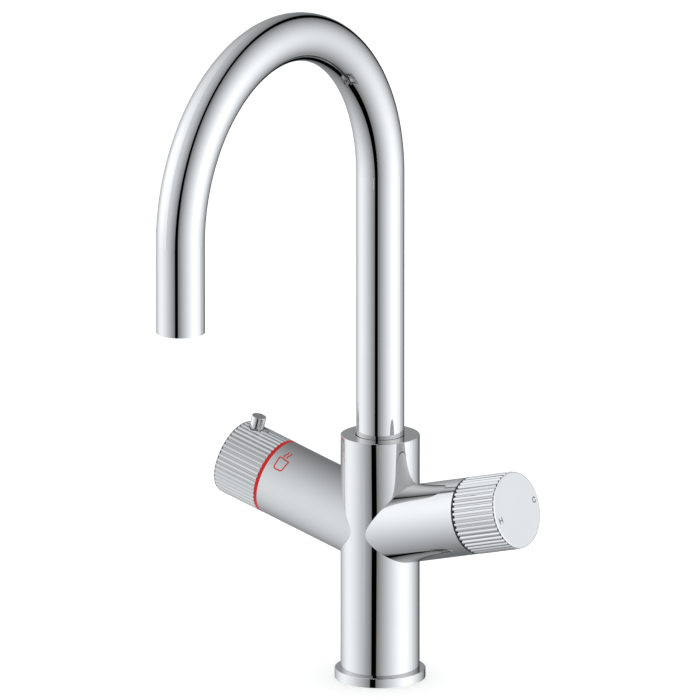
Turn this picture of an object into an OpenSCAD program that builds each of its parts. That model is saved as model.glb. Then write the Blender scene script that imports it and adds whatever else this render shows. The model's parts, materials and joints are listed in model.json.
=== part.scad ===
// Swan-neck boiling water tap with two fluted turning knobs.
// Millimetres, +Z up. The origin is the centre of the base's underside, on the worktop.
// The spout reaches towards -Y, the mixer arm towards +X and the boiling arm towards -X.

/* [Body] */
// Outside diameter of the upright body
body_d = 43.5; // [42.6:0.1:47]
// Height of the body's flat top above the worktop
body_h = 137.8; // [134:0.1:160]
// Depth of the hollow foot that takes the hoses
foot_depth = 46; // [36:0.5:50]
// Wall of the hollow foot
foot_wall = 4; // [3:0.1:5]
// Depth of the threaded fixing hole in the foot's roof
fixing_depth = 14; // [8:0.5:16]
// Radius of the threaded fixing hole
fixing_r = 3.4; // [2.5:0.05:4.2]
// Radius of each threaded hose port
port_r = 4.45; // [3.5:0.05:5]
// Depth of each threaded hose port
port_depth = 10; // [8:0.5:13]
// Sharp edges of the body are broken by this much
edge_break = 0.25; // [0.15:0.05:0.6]

/* [Base ring] */
// Outside diameter of the base ring
base_ring_d = 50; // [49:0.1:58]
// Height of the base ring
base_ring_h = 5.3; // [4.5:0.1:8]
// Distance that the body's foot reaches down into the base ring
foot_reach = 4.5; // [3:0.1:4.5]
// Wall between the base ring's bore and its outside
base_ring_wall = 5; // [4.4:0.1:6]
// Width of the sealing ring under the base
gasket_w = 2.4; // [1.6:0.1:2.8]
// Thickness of the sealing ring under the base
gasket_t = 1.9; // [1.4:0.1:2.6]

/* [Arms] */
// Outside diameter of both arms
arm_d = 42.4; // [41.5:0.1:43.2]
// Upward tilt of both arms
arm_tilt = 15; // [10:0.5:18]
// Height at which the arms' axes meet the body's axis
arm_z = 84.6; // [83:0.1:88]
// Length of the mixer arm from the body's axis
mixer_arm_len = 65; // [63:0.1:75]
// Length of the boiling arm from the body's axis
boil_arm_len = 69.6; // [68:0.1:80]
// Diameter of the valve chamber in each arm
chamber_d = 35; // [34.4:0.1:36]
// Depth of the mixer's chamber, from the arm's end to the cartridge seat
mixer_chamber_depth = 35; // [34:0.1:37]
// Depth of the boiling valve's chamber, from the arm's end to the hexagon's seat
boil_chamber_depth = 21.6; // [21:0.1:24]

/* [Spout] */
// Outside diameter of the spout tube
tube_d = 26.5; // [26:0.1:28]
// Wall of the spout tube
tube_wall = 1.3; // [1:0.1:1.6]
// Straight rise of the spout above the body's top
spout_rise = 147.9; // [80:0.1:200]
// Radius of the swan neck, on the tube's centre line
bend_r = 94.1; // [70:0.5:110]
// Straight drop of the spout after the swan neck
outlet_drop = 49.2; // [40:0.1:90]
// Depth of the socket that the spout turns in
socket_depth = 38; // [37:0.1:39]
// Depth of the tube's own end inside the body
tube_seat_depth = 12.6; // [8:0.1:14]
// Swing of the spout to each side
spout_swing = 75; // [30:5:90]

/* [Knobs] */
// Outside diameter of both knobs
knob_d = 42.6; // [42.2:0.1:44]
// Wall of both knobs
knob_wall = 3.75; // [3.2:0.05:4]
// Length of the mixer knob with its end cap
mixer_knob_len = 28.15; // [27:0.05:34]
// Length of the boiling knob with its end cap
boil_knob_len = 27.9; // [27.7:0.1:31]
// Thickness of each end cap's disc
cap_t = 0.5; // [0.45:0.05:1]
// How far each end cap's rim stays inside the top of the flutes
cap_inset = 0.4; // [0.2:0.05:0.6]
// Shadow gap between the flutes and each end cap
cap_gap = 0.35; // [0.2:0.05:0.6]
// Width of the slanted rim round each end cap
cap_rim_w = 0.5; // [0.2:0.05:1]
// Drop of that slanted rim
cap_rim_t = 0.2; // [0.1:0.05:0.4]
// Number of flutes round each knob
flutes = 45; // [30:1:50]
// Width of a flute at the knob's surface
flute_w = 2.25; // [1.2:0.05:2.6]
// Depth of a flute
flute_depth = 0.85; // [0.4:0.05:1]
// Width of a flute's floor
flute_floor_w = 0.3; // [0.1:0.05:0.6]
// Width of the bevel along each edge of a flute
flute_lip_w = 0.35; // [0.1:0.05:0.4]
// Drop of that bevel
flute_lip_t = 0.15; // [0.05:0.05:0.3]
// Turn of the mixer knob's first flute from its marks
mixer_flute_phase = 5.5; // [0:0.1:8]
// Turn of the boiling knob's first flute from its button
boil_flute_phase = 2.6; // [0:0.1:8]
// Turn of the mixer knob towards the front, as it stands
mixer_rest_turn = 7; // [0:1:15]
// Turn of the boiling knob towards the front, as it stands
boil_rest_turn = 0; // [0:1:15]
// Turn of the mixer knob from the middle to hot or cold
mixer_swing = 90; // [45:5:90]
// Turn of the boiling knob from shut to open
boil_swing = 90; // [45:5:120]
// Gap between the mixer arm and its knob, which the black ring fills
shadow_gap = 1.3; // [0.8:0.05:1.6]
// Thickness of the red ring that shows at the boiling knob
red_ring_t = 2; // [1:0.1:2.5]

/* [Safety button] */
// Diameter of the safety button
button_d = 8.1; // [7.6:0.1:8.6]
// Height of the button above the knob's flutes
button_h = 6.8; // [5:0.1:11]
// Distance of the button from the knob's inner end
button_s = 19.8; // [19.6:0.1:20.2]
// Press of the safety button
button_travel = 2.5; // [1.5:0.1:2.7]
// Width of the dark gap round the button
button_mouth_gap = 0.4; // [0.2:0.05:0.5]
// Depth of that gap
button_mouth_depth = 1.2; // [0.9:0.05:1.4]
// Wall of the bush that guides the button
bush_wall = 0.55; // [0.4:0.05:1]
// Radius of the button's nose, which runs in the lock collar
nose_r = 1.2; // [0.9:0.05:1.3]
// Wire diameter of the button's spring
spring_wire = 0.5; // [0.4:0.05:0.6]
// Turns of the button's spring
spring_turns = 9; // [5:1:9]

/* [Fits] */
// Radial clearance of each turning or sliding fit
run_gap = 0.08; // [0.05:0.01:0.1]
// Radial clearance of each fixed fit
fixed_gap = 0.05; // [0.03:0.01:0.08]
// End clearance between parts that turn past each other
end_gap = 0.2; // [0.15:0.05:0.3]

/* [Hidden] */
$fn = 96;

// overlap of joined shapes, and reach of a cutter past the face it opens
eps = 0.01;
over = 1;

// radii that many pieces share
body_r = body_d / 2;
arm_r = arm_d / 2;
knob_r = knob_d / 2;
tube_r = tube_d / 2;
tube_in_r = tube_r - tube_wall;
chamber_r = chamber_d / 2;
foot_r = body_r - foot_wall;
ring_r = base_ring_d / 2;
ring_bore_r = ring_r - base_ring_wall;
knob_bore_r = knob_r - knob_wall;
cap_r = knob_r - cap_inset;

// rubber rings: width of a groove's room, length of a groove, and play at its root
seal_w = 1.4;
seal_groove_len = 1.6;
seal_gap = 0.02;

// hose ports in the foot's roof: hot and cold in a line, the boiler feed opposite
port_x = 8;
port_y = 8.5;
feed_x = -9.7;
feed_y = 6.5;
water_r = 3.2;
feed_r = 2;

// mixing chamber in the body, below the spout's socket, and the socket's open mouth
mix_r = 7;
mix_floor_drop = 4.1;
mix_floor_z = arm_z - mix_floor_drop;
socket_r = tube_r + run_gap;
socket_z = body_h - socket_depth;
mouth_gap = 0.35;
mouth_depth = 0.8;

// pipe that carries boiling water up through the mixing chamber
nipple_r = 3;
nipple_bore_r = 1.9;
nipple_seat = 5;
nipple_way = 4;
nipple_rise = 6.4;
nipple_top_z = socket_z + nipple_rise;

// waterways inside the arms
mixer_inlet_start = 7.5;
boil_inlet_r = 1.9;
boil_inlet_y = 4.8;
boil_inlet_start = 8.5;
boil_return_r = 2.3;
boil_return_x = -10.5;
boil_return_start = -4;

// stations along the mixer arm, from the body's axis
m_seat = mixer_arm_len - mixer_chamber_depth;
m_knob = mixer_arm_len + shadow_gap;
m_end = m_knob + mixer_knob_len;
m_cap = m_end - cap_t;
cart_base_t = 3;
cart_wall = 2.7;
cart_r = chamber_r - 2 * run_gap;
cart_bore_r = cart_r - cart_wall;
m_disc = m_seat + cart_base_t + fixed_gap;
disc_t = 3.4;
disc_port_r = 3;
m_moving = m_disc + disc_t + fixed_gap;
moving_t = 2.9;
channel_depth = 1.6;
m_drive = m_moving + moving_t + fixed_gap;
drive_t = 2.4;
drive_edge = 2;
drive_r = cart_bore_r - drive_edge;
drive_lug_w = 4;
drive_lug_h = 1.5;
drive_lug_reach = 2.6;
drive_lug_in_r = drive_r - drive_lug_reach;
drive_gap = 0.1;
cart_len = 17;
m_cover = m_seat + cart_len;
cover_t = 3;
bearing_wall = 3;
port_seal_w = 0.8;
seal_pocket_r = water_r + port_seal_w + 2 * fixed_gap;
port_seal_t = 1;
m_nut = m_cover + cover_t + fixed_gap;
nut_t = 6.5;
nut_bore_r = 12;
nut_slot_w = 3;
nut_slot_depth = 2.5;
nut_slot_in = 2;
m_nut_slot = m_nut + nut_t - nut_slot_depth;
skirt_wall = 1.9;
skirt_in_r = chamber_r - run_gap - skirt_wall;
knob_skirt_len = 4.5;
black_skirt_len = mixer_arm_len - m_nut - nut_t - end_gap;
red_skirt_len = 8.2;
red_proud = 0.05;
black_ring_t = shadow_gap - end_gap;
black_sunk = 0.1;
web_reach = 11.65;
m_web = m_knob + web_reach;
web_t = 4;
web_root = 1;
insert_r = 7;
insert_tail = 2;
insert_flange_w = 2.5;
insert_flange_t = 1.5;
m_insert = m_web - insert_tail;
m_insert_end = m_web + web_t + insert_flange_t;
mixer_stem_r = 6;
mixer_tip_r = 4.2;
mixer_tap_r = 2;
mixer_tap_depth = 6;
stem_seal_w = 1.2;
stem_seal_rise = 1.2;
m_stem_seal = m_cover + stem_seal_rise;
flat_reach = 0.8;
cap_plug_wall = 2.2;
cap_plug_len = 5;
cap_gap_depth = 1.2;
cap_seal_drop = 2.7;
cap_seal_len = 1.8;

// stop of the mixer's turn: a lug on the drive plate and a block under the cover
stop_lug_w = 3;
stop_lug_h = 2.2;
stop_spare = 2;
stop_in_r = mixer_stem_r + bearing_wall;
stop_free = mixer_swing + stop_spare + asin(stop_lug_w / 2 / stop_in_r);

// knob screws: radius and height of the head, radius and length of the shank
mixer_screw = [3.4, 2.4, 1.95, 8];
boil_screw = [2.75, 0.9, 1.45, 7];
key_share = 0.5;
key_floor = 0.4;

// stations along the boiling arm, from the body's axis
valve_thread_len = 3;
disc_room = 8;
seat_drop = 3;
seat_gap = 0.6;
cage_floor_t = 1;
disc_gap = 0.1;
b_hex = boil_arm_len - boil_chamber_depth;
b_thread = b_hex - valve_thread_len;
b_window = b_thread - disc_room;
b_disc = b_window + cage_floor_t + fixed_gap;
boil_disc_t = 3;
b_moving = b_disc + boil_disc_t + disc_gap;
boil_moving_t = 2.4;
b_drive = b_moving + boil_moving_t + disc_gap;
boil_drive_t = 2.3;
boil_drive_gap = 0.3;
boil_lug_in_r = 4.2;
boil_lug_w = 2.4;
boil_lug_h = 1.2;
flow_r = 2;
flow_offset = 3.9;
flow_cover = 0.9;
b_seat = b_window - seat_drop;
seat_seal_rise = 1.9;
b_seat_seal = b_seat + seat_seal_rise;
b_ring = boil_arm_len + red_ring_t;
b_knob = b_ring + end_gap;
b_end = b_knob + boil_knob_len;
b_cap = b_end - cap_t;
seat_r = 7;
window_r = 13.2;
valve_thread_r = 10.45;
cage_r = 9.3;
cage_bore_r = 7.6;
cage_way_r = 4;
cage_window_r = 1.6;
cage_rim_r = 8.55;
cage_rim_h = 2.4;
hex_t = 6;
hex_r = 14;
neck_r = 8;
collar_bore_r = 6.55;
collar_r = 12;
collar_lead = 7.4;
b_button = b_knob + button_s;
b_collar = b_button - collar_lead;
collar_t = 9.5;
neck_lip = 1.1;
clip_t = 0.7;
clip_w = 2;
clip_bite = 0.65;
clip_mouth = 6;
b_neck_end = b_collar + collar_t + neck_lip;
boil_stem_r = 3.5;
boil_stem_seal_w = 0.9;
boil_stem_seal_len = 1.4;
boil_tap_r = 1.5;
boil_tap_depth = 6.5;
spindle_oring_z = [b_hex + 2 * hex_t, b_hex + 2.5 * hex_t];
boil_cap_room = 3.45;
b_web = b_cap - boil_cap_room;
boil_web_t = 2;
hub_r = 9;
hub_t = b_web + boil_web_t - b_neck_end - 2 * end_gap;
boil_insert_r = 6;

// radial stations of the safety button, from the boiling arm's axis
floor_h = knob_r - flute_depth;
button_r = button_d / 2;
button_top_h = knob_r + button_h;
bush_roof_t = 1.45;
shoulder_h = floor_h - bush_roof_t;
flange_t = 1.2;
flange_w = 0.5;
flange_r = button_r + flange_w;
button_foot_h = shoulder_h - 2 * fixed_gap - flange_t;
spring_room = 6.8;
spring_top_h = button_foot_h + spring_room;
plug_h = collar_r + 4 * fixed_gap + end_gap;
plug_t = 1.2;
register_t = 0.6;
bush_foot_h = plug_h + plug_t;
spring_foot_h = bush_foot_h + register_t;
bush_bore_r = button_r + fixed_gap;
bush_well_r = flange_r + 2 * run_gap;
bush_r = bush_well_r + bush_wall;
spring_bore_r = 2.9;
spring_side_gap = 0.3;
spring_r = spring_bore_r - spring_side_gap - spring_wire / 2;
coil_steps = 8;
wire_sides = 6;
nose_bite = 1.5;
nose_play = 0.15;
groove_play = 0.3;
nose_tip_h = collar_r - nose_bite;
groove_h = nose_tip_h - button_travel - groove_play;
groove_half_w = nose_r + nose_play;
groove_margin = asin((nose_r + end_gap) / (nose_tip_h - button_travel));

// stations down the spout
bend_z = body_h + spout_rise;
tube_foot_z = body_h - tube_seat_depth;
outlet_z = bend_z - outlet_drop;
outlet_y = -2 * bend_r;
spigot_foot_z = socket_z + 2 * end_gap;
spigot_bore_r = 9;
spigot_neck = 16;
first_seal_rise = 3.5;
seal_step = 4.5;
glide_rise = 11;
oring_z = [spigot_foot_z + first_seal_rise, spigot_foot_z + first_seal_rise + seal_step];
oring_groove_w = 2.4;
oring_groove_depth = 1.85;
oring_groove_r = tube_r - oring_groove_depth;
glide_z = spigot_foot_z + glide_rise;
glide_t = 3.4;
screw_drop = 6;
screw_z = tube_foot_z - screw_drop;
screw_r = 2.45;
screw_inset = 0.7;
screw_key_r = 1.5;
screw_key_depth = 3;
dog_r = 1.6;
dog_bite = 1.15;
dog_tip_y = tube_r - dog_bite;
slot_r = dog_tip_y - end_gap;
slot_margin = asin((dog_r + end_gap) / dog_tip_y);

// boiling water hose inside the spout
hose_r = 4;
hose_bore_r = 2.8;
barb_r = hose_bore_r - fixed_gap;
barb_len = 8;
tail_r = 6;
tail_gap = 0.3;
tail_roof_t = 1;
tail_foot_z = socket_z + tail_gap;
tail_seal_rise = 3.1;
tail_seal_z = tail_foot_z + tail_seal_rise;
tail_seal_len = 2.2;
hose_foot_z = nipple_top_z + tail_roof_t;
ferrule_t = 0.6;
ferrule_start = 0.5;

// outlet fittings, from the outlet's end upward
outlet_thread_r = 10.15;
bush_inset = 1.5;
outlet_bush_len = 12;
bush_foot_z = outlet_z + bush_inset;
bush_top_z = bush_foot_z + outlet_bush_len;
bush_shoulder_t = 1.8;
bush_shoulder_w = 1.6;
washer_room = 1.2;
aerator_inset = 0.3;
aerator_lip = 0.8;
aerator_foot_z = outlet_z + aerator_inset;
aerator_top_z = bush_top_z - bush_shoulder_t - washer_room;
aerator_bore_r = 8.6;
insert_inset = 0.9;
insert_foot_z = outlet_z + insert_inset;
aerator_insert_t = 2.6;
jets = 12;
jet_r = 0.9;
nozzle_r = 3;
nozzle_bore_r = 2.2;
nozzle_inset = 0.5;
nozzle_flange_w = 1;
nozzle_flange_t = 1.9;
hose_clear = 2;
hose_end_z = bush_top_z + hose_clear;

// ---- frames of reference ----

// z along the mixer arm, -x up
module on_mixer_arm() {
    translate([0, 0, arm_z])
        rotate([0, 90 - arm_tilt, 0])
            children();
}

// z along the boiling arm, x up
module on_boil_arm() {
    translate([0, 0, arm_z])
        rotate([0, arm_tilt - 90, 0])
            children();
}

// the boiling knob's own frame: x points along the safety button
module on_boil_knob() {
    on_boil_arm()
        rotate([0, 0, -boil_rest_turn])
            children();
}

// z along the safety button, from the arm's axis outwards
module on_button() {
    on_boil_knob()
        translate([0, 0, b_button])
            rotate([0, 90, 0])
                children();
}

// ---- shapes that repeat ----

// a tube or disc from height z0 to z1
module pipe(outer, inner, z0, z1) {
    translate([0, 0, z0])
        linear_extrude(z1 - z0)
            difference() {
                circle(r = outer);
                circle(r = inner);
            }
}

// a solid round bar or a cutter from height z0 to z1
module rod(r, z0, z1) {
    translate([0, 0, z0])
        cylinder(r = r, h = z1 - z0);
}

// a round sealing ring that lies between two radii
module oring(inner, outer, z) {
    translate([0, 0, z])
        rotate_extrude()
            translate([(inner + outer) / 2, 0])
                circle(r = (outer - inner) / 2, $fn = 32);
}

// groove for a rubber ring, cut into a bar of radius r, with its middle at z
module seal_room(r, depth, z, width) {
    pipe(r + over, r - depth, z - width / 2, z + width / 2);
}

// swan-neck pipe that starts at z0 and ends above the outlet at z1
module swan_neck(outer, inner, z0, z1) {
    pipe(outer, inner, z0, bend_z);
    translate([0, -bend_r, bend_z])
        rotate([90, 0, 90])
            rotate_extrude(angle = 180)
                translate([bend_r, 0])
                    difference() {
                        circle(r = outer);
                        circle(r = inner);
                    }
    translate([0, outlet_y, 0])
        pipe(outer, inner, z1, bend_z);
}

// outline of one flute's cutter: flat floor, straight walls and a bevel along each edge
module flute() {
    foot = [knob_r - flute_depth, flute_floor_w / 2];
    bevel = [knob_r - flute_lip_t, flute_w / 2 - flute_lip_w];
    turn = asin(flute_w / 2 / knob_r);
    edge = knob_r * [cos(turn), sin(turn)];
    mouth = edge + 3 * (edge - bevel);
    side = [mouth, bevel, foot];
    polygon(concat(side, [for (i = [2 : -1 : 0]) [side[i][0], -side[i][1]]]));
}

// solid with a knob's fluted outline, from z0 to z1
module fluted_rod(z0, z1, phase) {
    translate([0, 0, z0])
        linear_extrude(z1 - z0)
            difference() {
                circle(r = knob_r);
                for (k = [0 : flutes - 1])
                    rotate(phase + k * 360 / flutes)
                        flute();
            }
}

// fluted sleeve of a knob, with its bore, from z0 to z1
module fluted_sleeve(z0, z1, phase) {
    difference() {
        fluted_rod(z0, z1, phase);
        rod(knob_bore_r, z0 - over, z1 + over);
    }
}

// two lugs opposite each other, or a cutter for their slots
module lug_pair(inner, outer, width, z0, z1) {
    intersection() {
        pipe(outer, inner, z0, z1);
        translate([-outer - over, -width / 2, z0 - over])
            cube([2 * (outer + over), width, z1 - z0 + 2 * over]);
    }
}

// end cap with a shoulder that rests on the knob and a plug that enters it
module knob_cap(cap_z, plug_z) {
    rod(cap_r, cap_z, cap_z + cap_t - cap_rim_t);
    translate([0, 0, cap_z + cap_t - cap_rim_t])
        cylinder(r1 = cap_r, r2 = cap_r - cap_rim_w, h = cap_rim_t);
    pipe(cap_r - cap_gap_depth, knob_bore_r - cap_plug_wall, cap_z - cap_gap, cap_z + eps);
    pipe(knob_bore_r - fixed_gap, knob_bore_r - cap_plug_wall, plug_z, cap_z + eps);
}

// ---- fixed pieces ----

// one brass casting: upright body, both arms, valve chambers and waterways
module tap_body() {
    color("silver")
        difference() {
            union() {
                rod(body_r, base_ring_h, body_h - edge_break);
                translate([0, 0, body_h - edge_break])
                    cylinder(r1 = body_r, r2 = body_r - edge_break, h = edge_break);
                rod(ring_bore_r - fixed_gap, base_ring_h - foot_reach, base_ring_h);
                on_mixer_arm()
                    rod(arm_r, 0, mixer_arm_len);
                on_boil_arm()
                    rod(arm_r, 0, boil_arm_len);
            }
            foot_holes();
            spout_socket();
            on_mixer_arm()
                mixer_chamber();
            on_boil_arm()
                boil_chamber();
        }
}

// hollow foot, fixing thread and hose ports, each with its rising waterway
module foot_holes() {
    rod(foot_r, 0, foot_depth);
    rod(fixing_r, foot_depth - eps, foot_depth + fixing_depth);
    for (side = [-1, 1])
        translate([port_x, side * port_y, 0]) {
            rod(port_r, foot_depth - eps, foot_depth + port_depth);
            rod(water_r, foot_depth, arm_z + port_x * tan(arm_tilt) + water_r);
        }
    translate([feed_x, feed_y, 0]) {
        rod(port_r, foot_depth - eps, foot_depth + port_depth);
        rod(feed_r, foot_depth, arm_z - feed_x * tan(arm_tilt) + feed_r);
    }
}

// socket that the spout turns in, mixing chamber, nipple seat and set screw hole
module spout_socket() {
    rod(socket_r, socket_z, body_h + over);
    rod(socket_r + mouth_gap, body_h - mouth_depth, body_h + over);
    rod(mix_r, mix_floor_z, socket_z + eps);
    rod(nipple_r + fixed_gap, mix_floor_z - nipple_seat, mix_floor_z + eps);
    rod(nipple_bore_r, mix_floor_z - nipple_seat - nipple_way, mix_floor_z - nipple_seat + eps);
    translate([0, 0, screw_z])
        rotate([-90, 0, 0])
            rod(screw_r + fixed_gap, tube_r, body_r + over);
}

// cartridge chamber with hot and cold inlets and the mixed water's way back
module mixer_chamber() {
    rod(chamber_r, m_seat, mixer_arm_len + over);
    rod(water_r, 0, m_seat + eps);
    for (side = [-1, 1])
        translate([0, side * port_y, 0])
            rod(water_r, mixer_inlet_start, m_seat + eps);
}

// stepped chamber of the boiling valve with its inlet and the way to the nipple
module boil_chamber() {
    rod(chamber_r, b_hex, boil_arm_len + over);
    rod(valve_thread_r, b_thread - eps, b_hex + eps);
    rod(window_r, b_window, b_thread);
    rod(seat_r, b_seat, b_window + eps);
    translate([0, boil_inlet_y, 0])
        rod(boil_inlet_r, boil_inlet_start, b_seat + eps);
    translate([boil_return_x, 0, 0])
        rod(boil_return_r, boil_return_start, b_window + eps);
}

// flat ring that the body stands in
module base_ring() {
    color("silver")
        difference() {
            union() {
                rod(ring_r, 0, base_ring_h - edge_break);
                translate([0, 0, base_ring_h - edge_break])
                    cylinder(r1 = ring_r, r2 = ring_r - edge_break, h = edge_break);
            }
            rod(ring_bore_r, -over, base_ring_h + over);
            gasket_space(-over, gasket_t + 2 * fixed_gap, 2 * fixed_gap);
        }
}

// space of the sealing ring, midway in the base ring's wall
module gasket_space(z0, z1, grow) {
    middle = ring_r - base_ring_wall / 2;
    pipe(middle + gasket_w / 2 + grow, middle - gasket_w / 2 - grow, z0, z1);
}

// rubber ring that seals the base to the worktop
module base_gasket() {
    color("dimgray")
        gasket_space(0, gasket_t, 0);
}

// grub screw with a dog point, at the back of the body: it holds the spout and stops its swing
module spout_set_screw() {
    color("dimgray")
        translate([0, 0, screw_z])
            rotate([-90, 0, 0])
                difference() {
                    union() {
                        rod(screw_r, tube_r + end_gap, body_r - screw_inset);
                        rod(dog_r, dog_tip_y, tube_r + end_gap + eps);
                    }
                    translate([0, 0, body_r - screw_inset - screw_key_depth])
                        cylinder(r = screw_key_r, h = screw_key_depth + over, $fn = 6);
                }
}

// thin pipe that lifts boiling water through the mixing chamber
module boiling_nipple() {
    color("goldenrod")
        pipe(nipple_r, nipple_bore_r, mix_floor_z - nipple_seat, nipple_top_z);
}

// ---- mixer cartridge, fixed pieces ----

// cup that holds the ceramic discs, with its three ports
module mixer_cartridge_housing() {
    color("white")
        on_mixer_arm()
            difference() {
                rod(cart_r, m_seat + fixed_gap, m_cover);
                rod(cart_bore_r, m_seat + cart_base_t, m_cover + over);
                cartridge_ports(m_seat - over, m_disc + over, water_r);
                cartridge_ports(m_seat - over, m_seat + fixed_gap + port_seal_t, seal_pocket_r);
            }
}

// mixed water port in the middle, hot in front and cold behind
module cartridge_ports(z0, z1, r) {
    for (side = [-1, 0, 1])
        translate([0, side * port_y, 0])
            rod(r, z0, z1);
}

// three equal rubber rings between the cartridge and its seat
module mixer_port_seals() {
    color("dimgray")
        on_mixer_arm()
            for (side = [-1, 0, 1])
                translate([0, side * port_y, 0])
                    pipe(water_r + port_seal_w, water_r + fixed_gap, m_seat + eps, m_seat + port_seal_t);
}

// lower ceramic disc, which stands still
module mixer_fixed_disc() {
    color("ivory")
        on_mixer_arm()
            difference() {
                rod(cart_bore_r - run_gap, m_disc, m_disc + disc_t);
                cartridge_ports(m_disc - over, m_disc + disc_t + over, disc_port_r);
            }
}

// lid of the cartridge, with the spindle's bearing and the block that stops the turn
module mixer_cartridge_cover() {
    color("white")
        on_mixer_arm()
            difference() {
                union() {
                    rod(cart_r, m_cover, m_cover + cover_t);
                    rod(stop_in_r, m_drive + drive_t + end_gap, m_cover + eps);
                    stop_block(m_drive + drive_t + end_gap, m_cover + eps);
                }
                rod(mixer_stem_r + run_gap, m_drive, m_cover + cover_t + over);
            }
}

// part of a ring, opposite the drive plate's lug, that leaves the mixer's turn free
module stop_block(z0, z1) {
    rotate([0, 0, mixer_rest_turn + stop_free])
        translate([0, 0, z0])
            rotate_extrude(angle = 360 - 2 * stop_free)
                translate([stop_in_r - eps, 0])
                    square([drive_r - stop_in_r, z1 - z0]);
}

// brass ring nut that clamps the cartridge
module mixer_retaining_nut() {
    color("goldenrod")
        on_mixer_arm()
            difference() {
                rod(chamber_r - fixed_gap, m_nut, m_nut + nut_t);
                rod(nut_bore_r, m_nut - over, m_nut + nut_t + over);
                for (turn = [45 : 90 : 315])
                    rotate(turn)
                        translate([nut_bore_r + nut_slot_in, -nut_slot_w / 2, m_nut_slot])
                            cube([chamber_r, nut_slot_w, nut_slot_depth + over]);
            }
}

// flanged slide ring that centres a knob on its arm: skirt, flange, skirt
module slide_ring(arm_end, flange_t, flange_r, skirt_in) {
    arm_skirt = chamber_r - fixed_gap;
    knob_skirt = knob_bore_r - run_gap;
    difference() {
        union() {
            rod(arm_skirt, arm_end - skirt_in, arm_end);
            rod(flange_r, arm_end, arm_end + flange_t);
            rod(knob_skirt, arm_end + flange_t - eps, arm_end + flange_t + knob_skirt_len);
        }
        rod(skirt_in_r, arm_end - skirt_in - over, arm_end + flange_t + knob_skirt_len + over);
    }
}

// black ring whose edge shows as the dark line at the mixer knob
module mixer_black_ring() {
    color("black")
        on_mixer_arm()
            slide_ring(mixer_arm_len, black_ring_t, arm_r - black_sunk, black_skirt_len);
}

// ---- boiling valve, fixed pieces ----

// brass headwork: thread, hexagon and long neck with the spindle's bore
module boil_headwork() {
    color("goldenrod")
        on_boil_arm()
            difference() {
                union() {
                    rod(valve_thread_r - fixed_gap, b_thread, b_hex);
                    translate([0, 0, b_hex])
                        cylinder(r = hex_r, h = hex_t, $fn = 6);
                    rod(neck_r, b_hex + hex_t - eps, b_collar);
                    rod(collar_bore_r - fixed_gap, b_collar - eps, b_neck_end);
                }
                rod(cage_rim_r + fixed_gap, b_thread - over, b_thread + cage_rim_h + 2 * fixed_gap);
                rod(boil_stem_r + fixed_gap, b_thread, b_neck_end + over);
                clip_space(collar_r, collar_bore_r - clip_bite - fixed_gap, 0);
            }
}

// flat ring's room behind the lock collar, or the clip itself, drawn in by its play
module clip_space(outer, inner, play) {
    start = b_neck_end - neck_lip;
    pipe(outer, inner, start + play, start + clip_t + 2 * fixed_gap - play);
}

// cage under the headwork that holds the boiling valve's discs, with side windows
module boil_valve_cage() {
    color("goldenrod")
        on_boil_arm()
            difference() {
                union() {
                    rod(seat_r - fixed_gap, b_seat + seat_gap, b_window + cage_floor_t);
                    rod(cage_r, b_window + fixed_gap, b_thread);
                    rod(cage_rim_r, b_thread - eps, b_thread + cage_rim_h);
                }
                rod(cage_way_r, b_seat, b_disc);
                rod(cage_bore_r, b_window + cage_floor_t, b_thread + cage_rim_h + over);
                seal_room(seat_r, seal_w, b_seat_seal, seal_groove_len);
                translate([0, 0, b_moving + boil_moving_t / 2])
                    rotate([0, 90, 0])
                        rod(cage_window_r, -window_r, window_r);
            }
}

// rubber ring between the cage and its seat
module boil_seat_seal() {
    color("dimgray")
        on_boil_arm()
            oring(seat_r - seal_w + seal_gap, seat_r - seal_gap, b_seat_seal);
}

// lower ceramic disc of the boiling valve, with two flow holes
module boil_fixed_disc() {
    color("ivory")
        on_boil_arm()
            difference() {
                rod(cage_bore_r - run_gap, b_disc, b_disc + boil_disc_t);
                for (side = [-1, 1])
                    translate([side * flow_offset, 0, 0])
                        rod(flow_r, b_disc - over, b_disc + boil_disc_t + over);
            }
}

// red plastic slide ring that marks the boiling side
module red_ring() {
    color("firebrick")
        on_boil_arm()
            slide_ring(boil_arm_len, red_ring_t, arm_r + red_proud, red_skirt_len);
}

// collar on the headwork's neck: the button's nose runs in its groove, whose ends stop the turn
module lock_collar() {
    color("goldenrod")
        on_boil_arm()
            difference() {
                rod(collar_r, b_collar, b_collar + collar_t);
                rod(collar_bore_r, b_collar - over, b_collar + collar_t + over);
                translate([0, 0, b_button - groove_half_w])
                    rotate([0, 0, -boil_rest_turn - boil_swing - groove_margin])
                        rotate_extrude(angle = boil_swing + 2 * groove_margin)
                            translate([groove_h, 0])
                                square([collar_r, 2 * groove_half_w]);
            }
}

// open spring clip that keeps the lock collar on the neck
module lock_collar_clip() {
    color("gray")
        on_boil_arm()
            difference() {
                clip_space(collar_bore_r + clip_w, collar_bore_r - clip_bite, fixed_gap);
                translate([-clip_mouth / 2, 0, b_neck_end - neck_lip - over])
                    cube([clip_mouth, collar_r, neck_lip + 2 * over]);
            }
}

// ---- spout ----

// bent tube of the swan neck
module spout_tube() {
    color("silver")
        swan_neck(tube_r, tube_in_r, tube_foot_z, outlet_z);
}

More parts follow.
